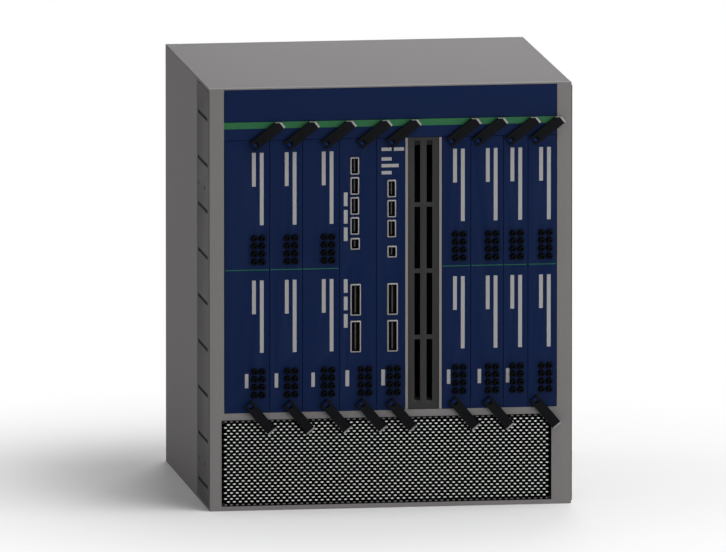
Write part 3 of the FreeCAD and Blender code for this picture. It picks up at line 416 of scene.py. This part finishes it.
plate_thickness = 0.0025
label_seat = 0.0004
seat_slack = 5e-5
label_thickness = 0.0003
label_fit = 0.00015
tag_width = 0.0046
print_proud = 0.0001
marker_level = 0.2978
dash_length = 0.0012
dash_height = 0.0009
dash_pitch = 0.002
label_grey = coat("label_grey", "9b999a", 0.5)
marker_green = coat("printed_green_dashes", "2c7a48", 0.5)
line_cards = [body for body in bodies if body + "_jacks" in body_of]
service_cards = [body for body in bodies if body + "_ports" in body_of]
cards = line_cards + service_cards
for card in cards:
    node = card + "_faceplate"
    dressed(node, "card_blue", plate_edge, card_blue)
    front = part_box(node)[1].y - plate_thickness
    seat = front + label_seat
    form = welded(node)
    seats = [
        corners(face) for face in form.faces
        if face.normal.y < -facing and abs(face.calc_center_median().y - seat) < seat_slack
    ]
    form.free()
    seats.sort(key=lambda ends: ends[0].z)
    inset = Vector((label_fit, 0, label_fit))
    rise = Vector((0, label_thickness, 0))
    strips = [plate(low + inset - rise, high - inset) for low, high in seats]
    if card in service_cards:
        low, high = seats[0]
        strips.append(plate((low.x, front - print_proud, low.z), (low.x + tag_width, front, high.z)))
    piece_from(together(*strips), card + "_labels", card, "card_blue", label_grey)
    if card in line_cards:
        low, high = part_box(node)
        dash = plate((0, -print_proud, 0), (dash_length, 0, dash_height))
        repeated(
            card + "_marker_line", card, dash, marker_green,
            (low.x + dash_pitch / 2, front, marker_level),
            across=((dash_pitch, 0, 0), int((high.x - low.x) / dash_pitch)),
        )

# Jacks: hollow barrels moulded in black plastic and held in the faceplates by hexagonal nuts of the same
# plastic. Each card has a low group of two columns, and the line cards have another halfway up.

nut_radius = 0.0045
nut_crown = 0.86
nut_height = 0.003
nut_chamfer = 0.0006
nut_sides = 6
barrel_radius = 0.0033
barrel_bore = 0.0017
barrel_chamfer = 0.0003
barrel_foot = 0.001
barrel_sides = 16
bore_floor = 0.0035
jack_columns = 2
jack_rows = 4
jack_column_pitch = 0.0096
jack_row_pitch = 0.0098
jack_group_rise = 0.165
jack_length = 0.008


def turned(profile, sides):
    """A closed turned form about an axis that points out of the front, from (radius, reach) pairs."""
    form = bmesh.new()
    rings = []
    for radius, reach in profile:
        if radius == 0:
            rings.append([form.verts.new((0, -reach, 0))])
            continue
        ring = []
        for i in range(sides):
            turn = tau * i / sides
            ring.append(form.verts.new((radius * cos(turn), -reach, radius * sin(turn))))
        rings.append(ring)
    for low, high in zip(rings, rings[1:]):
        for i in range(sides):
            j = (i + 1) % sides
            around = [low[i % len(low)], low[j % len(low)], high[j % len(high)], high[i % len(high)]]
            form.faces.new(list(dict.fromkeys(around)))
    bmesh.ops.recalc_face_normals(form, faces=form.faces)
    return form


def jack():
    """A six-sided nut with a hollow barrel through it."""
    nut = turned([(0, nut_height), (nut_radius * nut_crown, nut_height),
                  (nut_radius, nut_height - nut_chamfer), (nut_radius, 0), (0, 0)], nut_sides)
    barrel = turned([(0, bore_floor), (barrel_bore, bore_floor), (barrel_bore, jack_length),
                     (barrel_radius - barrel_chamfer, jack_length),
                     (barrel_radius, jack_length - barrel_chamfer),
                     (barrel_radius, barrel_foot), (0, barrel_foot)], barrel_sides)
    return together(nut, barrel)


jack_black = coat("black_jack", "07080b", 0.55, sheen=0.03)
for card in cards:
    line_card = card in line_cards
    node = card + ("_jacks" if line_card else "_ports")
    low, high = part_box(node)
    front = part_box(card + "_faceplate")[1].y - plate_thickness
    start = (high.x - nut_radius - jack_column_pitch, front, low.z + nut_radius * cos(pi / 6))
    jacks = repeated(
        card + "_jack_field", card, jack(), jack_black, start,
        across=((jack_column_pitch, 0, 0), jack_columns), up=((0, 0, jack_row_pitch), jack_rows),
        group=((0, 0, jack_group_rise), 2 if line_card else 1),
    )
    if line_card:
        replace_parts(jacks, node)

# Ports: open-fronted drawn steel shells through the service cards' faceplates, their inner walls painted near
# black as painted shade, with a contact tongue of dark grey plastic that stands out from the back wall of each.

port_depth = 0.0155
port_wall = 0.0016
port_corner = 0.0013
corner_steps = 3
port_rim = 0.0004
depth_slack = 0.001
edge_slack = 1e-5
tongue_length = 0.0101
tongue_thickness = 0.0014
tongue_end_gap = 2.2 * port_wall
shell_steel = coat("satin_port_steel", "918e8e", 0.45, metallic=0.2)
# Near-black painted shade for the shells' inner walls.
port_shade_black = coat("port_inside", "1b1b1c", 0.6)
tongue_grey = coat("contact_tongue", "4a4a4c", 0.5)


def islands(form):
    """The separate solids of a form, as lists of vertices."""
    met = set()
    found = []
    for first in form.verts:
        if first in met:
            continue
        met.add(first)
        group = [first]
        for vert in group:
            for link in vert.link_edges:
                other = link.other_vert(vert)
                if other not in met:
                    met.add(other)
                    group.append(other)
        found.append(group)
    return found


for card in service_cards:
    form = welded(card + "_ports")
    tongues = []
    for group in islands(form):
        low = Vector([min(v.co[i] for v in group) for i in range(3)])
        high = Vector([max(v.co[i] for v in group) for i in range(3)])
        if high.y - low.y < port_depth - depth_slack:
            bmesh.ops.delete(form, geom=group, context="VERTS")
            continue
        middle = (low + high) / 2
        # Inner walls deeper than the rim take the painted shade.
        for face in {f for v in group for f in v.link_faces}:
            centre = face.calc_center_median()
            inward = (middle - centre).dot(face.normal) > 0
            face.material_index = int(inward and centre.y > low.y + port_rim)
        reach = (high - low) / 2
        outer = [
            e for v in group for e in v.link_edges
            if all(abs(end.co.x - middle.x) > reach.x - edge_slack for end in e.verts)
            and all(abs(end.co.z - middle.z) > reach.z - edge_slack for end in e.verts)
        ]
        bmesh.ops.bevel(form, geom=list(dict.fromkeys(outer)), offset=port_corner, segments=corner_steps,
                        profile=round_profile, affect="EDGES")
        half = Vector((tongue_thickness / 2, tongue_length / 2, reach.z - tongue_end_gap))
        centre = Vector((middle.x, high.y - port_wall - half.y, middle.z))
        tongues.append(plate(centre - half, centre + half))
    shells = piece_from(form, card + "_port_shells", card, "port_metal", shell_steel, port_shade_black)
    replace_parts(shells, card + "_ports")
    piece_from(together(*tongues), card + "_port_tongues", card, "port_metal", tongue_grey)

# Levers: forked bars of black plastic that swing on a pin through the faceplate's lug. The faces that close
# each free end are painted light grey as a painted highlight.

lever_edge = 0.0005
highlight_reach = 0.03
end_facing = 0.5
lever_black = coat("black_lever_plastic", "0c0d10", 0.55, grain=0.0007, spread=0.1, depth=0.00003, sheen=0.04)
# Light grey, slightly metallic finish that paints a highlight on the levers' end faces.
lever_end_highlight = coat("steel_wear_plate", "8e8c8c", 0.45, metallic=0.2)


def at_free_end(joint):
    """Tells the faces that close a lever's free end, which take the painted highlight, from the rest of the lever.
    """
    pivot = Vector(joint["pos_m"])
    along = Vector((-joint["axis"][2], 0, joint["axis"][0]))

    def choose(face):
        beyond = (face.calc_center_median() - pivot).dot(along) > highlight_reach
        return int(beyond and face.normal.dot(along) > end_facing)

    return choose


# Each lever's end faces take the painted highlight.
for joint in frame["joints"]:
    if joint["name"].endswith("_lever_hinge"):
        dressed(joint["child"], "lever_black", lever_edge, lever_black, lever_end_highlight, choose=at_free_end(joint))

# Boards: green fibreglass behind each faceplate, populated on one side with chips and finned heat sinks, with
# a moulded plug at the far end that meets the backplane.

board_thickness = 0.002
chip_size = (0.0022, 0.024, 0.024)
chip_inset = 0.075
chip_spacing = 0.06
chip_rise = 0.1
chip_columns = 3
chip_rows = 3
small_chip_size = (0.0016, 0.008, 0.012)
small_chip_inset = 0.03
small_chip_start = 0.085
small_chip_spacing = 0.018
small_chip_gap = 0.025
small_chip_columns = 11
fin_size = (0.008, 0.03, 0.0012)
fin_pitch = 0.0038
fin_count = 6
chip_black = coat("chip_black", "1a1b1d", 0.5)
sink_silver = coat("heat_sink_silver", "a9abad", 0.35, metallic=0.9, sheen=0.5)
board_green = coat("green_solder_mask", "1c5a36", 0.4, grain=0.003, spread=0.12)
plug_cream = coat("cream_plug_moulding", "b9b3a2", 0.5)


def standing(size):
    """A block that stands on a board's face, centred on its place."""
    return plate((0, -size[1] / 2, -size[2] / 2), (size[0], size[1] / 2, size[2] / 2))


for card in cards:
    node = card + "_board"
    low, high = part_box(node)
    face_x = low.x + board_thickness
    dressed(node, "board_green", strip_edge, board_green, plug_cream,
            choose=lambda face: int(face.calc_center_median().x > face_x + strip_edge))
    repeated(
        card + "_chips", card, standing(chip_size), chip_black,
        (face_x, low.y + chip_inset, low.z + chip_rise / 2),
        across=((0, chip_spacing, 0), chip_columns), up=((0, 0, chip_rise), chip_rows),
    )
    repeated(
        card + "_small_chips", card, standing(small_chip_size), chip_black,
        (face_x, low.y + small_chip_inset, low.z + small_chip_start),
        across=((0, small_chip_spacing, 0), small_chip_columns), up=((0, 0, chip_rise), 2),
        group=((0, 0, small_chip_gap), 2),
    )
    sink_low = low.z + chip_rise / 2 - (fin_count - 1) * fin_pitch / 2
    repeated(
        card + "_heat_sinks", card, standing(fin_size), sink_silver,
        (face_x + chip_size[0], low.y + chip_inset + chip_spacing, sink_low),
        across=((0, 0, fin_pitch), fin_count), up=((0, 0, chip_rise), chip_rows),
    )

# Card cage: guide frames moulded in black plastic, grooved for the boards' lower and upper edges, and a
# fibreglass backplane across the end of the cage, with a moulded socket for each card's plug.

backplane_sheet = 0.004
guide_black = coat("black_guide_plastic", "232426", 0.5)
backplane_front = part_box("backplane")[1].y - backplane_sheet
dressed("card_guides", "guide_plastic", strip_edge, guide_black)
dressed("backplane", "board_green", strip_edge, board_green, plug_cream,
        choose=lambda face: int(face.calc_center_median().y < backplane_front - strip_edge))

# Blower module: a bare bezel in the rail's blue on a folded, zinc-plated tray, which carries two impellers
# moulded in black plastic.

tray_zinc = coat("zinc_plate", "a9abad", 0.38, grain=0.02, spread=0.06, metallic=0.8)
impeller_black = coat("black_impeller_plastic", "1d1e20", 0.45)
dressed("blower_bezel", "card_blue", plate_edge, card_blue)
dressed("blower_tray", "tray_zinc", strip_edge, tray_zinc)
for node in ("impeller_left", "impeller_right"):
    dressed(node, "impeller_black", strip_edge, impeller_black)

# Fasteners: pan-head steel screws down both edges of the rear panel, and small black ones at the corners of
# the grille.

screw_radius = 0.0032
screw_head = 0.0009
small_screw_radius = 0.0021
recess_radius = 0.0012
recess_profile = ((0, 0.35), (0.6, 0.45), (1, 1))
head_profile = ((0.7, 1), (0.95, 0.55), (1, 0), (0, 0))
screw_sides = 14
screw_inset = 0.006
rear_screw_rise = 0.0955
rear_screw_rows = 6
screw_steel = coat("screw_steel", "8f9092", 0.35, metallic=0.8, sheen=0.5)
screw_black = coat("black_screw", "17181b", 0.45)


def screw(radius, turn):
    """A pan-head screw with a recess, whose way out is -Y turned about the upright by turn."""
    profile = [(recess_radius * out, screw_head * up) for out, up in recess_profile]
    profile += [(radius * out, screw_head * up) for out, up in head_profile]
    form = turned(profile, screw_sides)
    bmesh.ops.transform(form, matrix=Matrix.Rotation(turn, 4, "Z"), verts=form.verts)
    return form


rear_low, rear_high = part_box("rear_panel")
repeated(
    "rear_screws", "chassis", screw(screw_radius, pi), screw_steel,
    (rear_low.x + screw_inset, rear_high.y, rear_low.z + 2 * screw_inset),
    across=((rear_high.x - rear_low.x - 2 * screw_inset, 0, 0), 2),
    up=((0, 0, rear_screw_rise), rear_screw_rows),
)
repeated(
    "grille_screws", "chassis", screw(small_screw_radius, 0), screw_black,
    (grille_low.x + small_screw_radius, grille_low.y, grille_low.z + small_screw_radius),
    across=((grille_size.x - 2 * small_screw_radius, 0, 0), 2),
    up=((0, 0, grille_size.z - 2 * small_screw_radius), 2),
)

# Power modules: closed aluminium cases on the floor, with copper bus bars in front, and black terminal blocks
# and brass studs that stand out behind the rear panel.

rear_face = rear_high.y
terminal_reach = 0.012
bus_thickness = 0.0047
bus_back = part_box("power_modules")[0].y + bus_thickness
feed_aluminium = coat("clear_aluminium", "b0b2b4", 0.35, metallic=0.9, sheen=0.5)
terminal_black = coat("black_terminal_plastic", "1b1c1e", 0.5)
stud_brass = coat("brass_stud", "b8963e", 0.3, metallic=1.0, sheen=0.5)
bus_copper = coat("copper_bus_bar", "b06a45", 0.35, metallic=1.0, sheen=0.5)


def feed_finish(face):
    """Copper in front of the case, black plastic behind the rear panel and brass beyond that."""
    y = face.calc_center_median().y
    if y < bus_back - strip_edge:
        return 3
    return int(y > rear_face - strip_edge) + int(y > rear_face + terminal_reach + strip_edge)


dressed("power_modules", "feed_case", strip_edge, feed_aluminium, terminal_black, stud_brass, bus_copper,
        choose=feed_finish)

# Studio: a pale floor that fades to white away from the chassis, soft lamps above, in front and behind, a
# weaker one on the left, and a long lens at the drawing's angle.

scene = bpy.context.scene
scene.view_settings.view_transform = "Standard"
floor_size = 40
floor_near, floor_far = 0.3, 0.85
floor_tone = (0.95, 0.95, 0.95, 1)
floor_roughness = 0.9
plain_white = (1, 1, 1, 1)
ambient_strength = 0.24
floor_mesh = bpy.data.meshes.new("floor")
floor_mesh.from_pydata([(-floor_size, -floor_size, 0), (floor_size, -floor_size, 0),
                        (floor_size, floor_size, 0), (-floor_size, floor_size, 0)], [], [(0, 1, 2, 3)])
floor = bpy.data.objects.new("floor", floor_mesh)
scene.collection.objects.link(floor)
pale_floor = bpy.data.materials.new("pale_floor")
pale_floor.use_nodes = True
nodes, links = pale_floor.node_tree.nodes, pale_floor.node_tree.links
shader = nodes["Principled BSDF"]
shader.inputs["Base Color"].default_value = floor_tone
shader.inputs["Roughness"].default_value = floor_roughness
place = nodes.new("ShaderNodeTexCoord")
away = nodes.new("ShaderNodeVectorMath")
away.operation = "LENGTH"
links.new(place.outputs["Object"], away.inputs[0])
fade = nodes.new("ShaderNodeMapRange")
fade.interpolation_type = "SMOOTHSTEP"
fade.inputs["From Min"].default_value = floor_near
fade.inputs["From Max"].default_value = floor_far
links.new(away.outputs["Value"], fade.inputs["Value"])
white = nodes.new("ShaderNodeEmission")
seen = nodes.new("ShaderNodeLightPath")


def seen_rays(nodes, links, path):
    """Rays that show the background: straight to the camera, reflected or refracted."""
    either = nodes.new("ShaderNodeMath")
    either.operation = "MAXIMUM"
    links.new(path.outputs["Is Camera Ray"], either.inputs[0])
    links.new(path.outputs["Is Glossy Ray"], either.inputs[1])
    every = nodes.new("ShaderNodeMath")
    every.operation = "MAXIMUM"
    links.new(either.outputs[0], every.inputs[0])
    links.new(path.outputs["Is Transmission Ray"], every.inputs[1])
    return every.outputs[0]


share = nodes.new("ShaderNodeMath")
share.operation = "MULTIPLY"
links.new(fade.outputs["Result"], share.inputs[0])
links.new(seen_rays(nodes, links, seen), share.inputs[1])
mix = nodes.new("ShaderNodeMixShader")
links.new(share.outputs[0], mix.inputs[0])
links.new(shader.outputs[0], mix.inputs[1])
links.new(white.outputs[0], mix.inputs[2])
links.new(mix.outputs[0], nodes["Material Output"].inputs["Surface"])
floor_mesh.materials.append(pale_floor)

world = bpy.data.worlds.new("studio")
scene.world = world
world.use_nodes = True
nodes, links = world.node_tree.nodes, world.node_tree.links
ambient = nodes["Background"]
ambient.inputs["Color"].default_value = plain_white
ambient.inputs["Strength"].default_value = ambient_strength
backdrop = nodes.new("ShaderNodeBackground")
backdrop.inputs["Color"].default_value = plain_white
mix = nodes.new("ShaderNodeMixShader")
path = nodes.new("ShaderNodeLightPath")
links.new(seen_rays(nodes, links, path), mix.inputs[0])
links.new(ambient.outputs[0], mix.inputs[1])
links.new(backdrop.outputs[0], mix.inputs[2])
links.new(mix.outputs[0], nodes["World Output"].inputs["Surface"])

target = Vector((-0.0055, 0, 0.2575))
for name, place, power, spread in (
    ("key_lamp", (0.9, -0.6, 2.9), 48, 1.6),
    ("front_lamp", (0.9, -2.6, 0.7), 25, 1.4),
    ("left_lamp", (-2.2, 0.5, 0.7), 6, 1.2),
    ("rear_lamp", (0.6, 2.6, 0.4), 46, 1.2),
):
    lamp = bpy.data.lights.new(name, "AREA")
    lamp.energy = power
    lamp.size = spread
    holder = bpy.data.objects.new(name, lamp)
    holder.location = place
    holder.rotation_euler = (target - Vector(place)).to_track_quat("-Z", "Y").to_euler()
    scene.collection.objects.link(holder)

view_azimuth = radians(-8.2)
view_elevation = radians(8.6)
lens = 1200
sensor = 36
seen_width = 0.896
far_limit = 100
distance = seen_width * lens / sensor
camera_data = bpy.data.cameras.new("camera")
camera_data.lens = lens
camera_data.sensor_width = sensor
camera_data.clip_end = far_limit
camera = bpy.data.objects.new("camera", camera_data)
level = Vector((sin(view_azimuth), -cos(view_azimuth), 0))
outward = level * cos(view_elevation) + Vector((0, 0, sin(view_elevation)))
camera.location = target + outward * distance
camera.rotation_euler = (-outward).to_track_quat("-Z", "Y").to_euler()
scene.collection.objects.link(camera)
scene.camera = camera
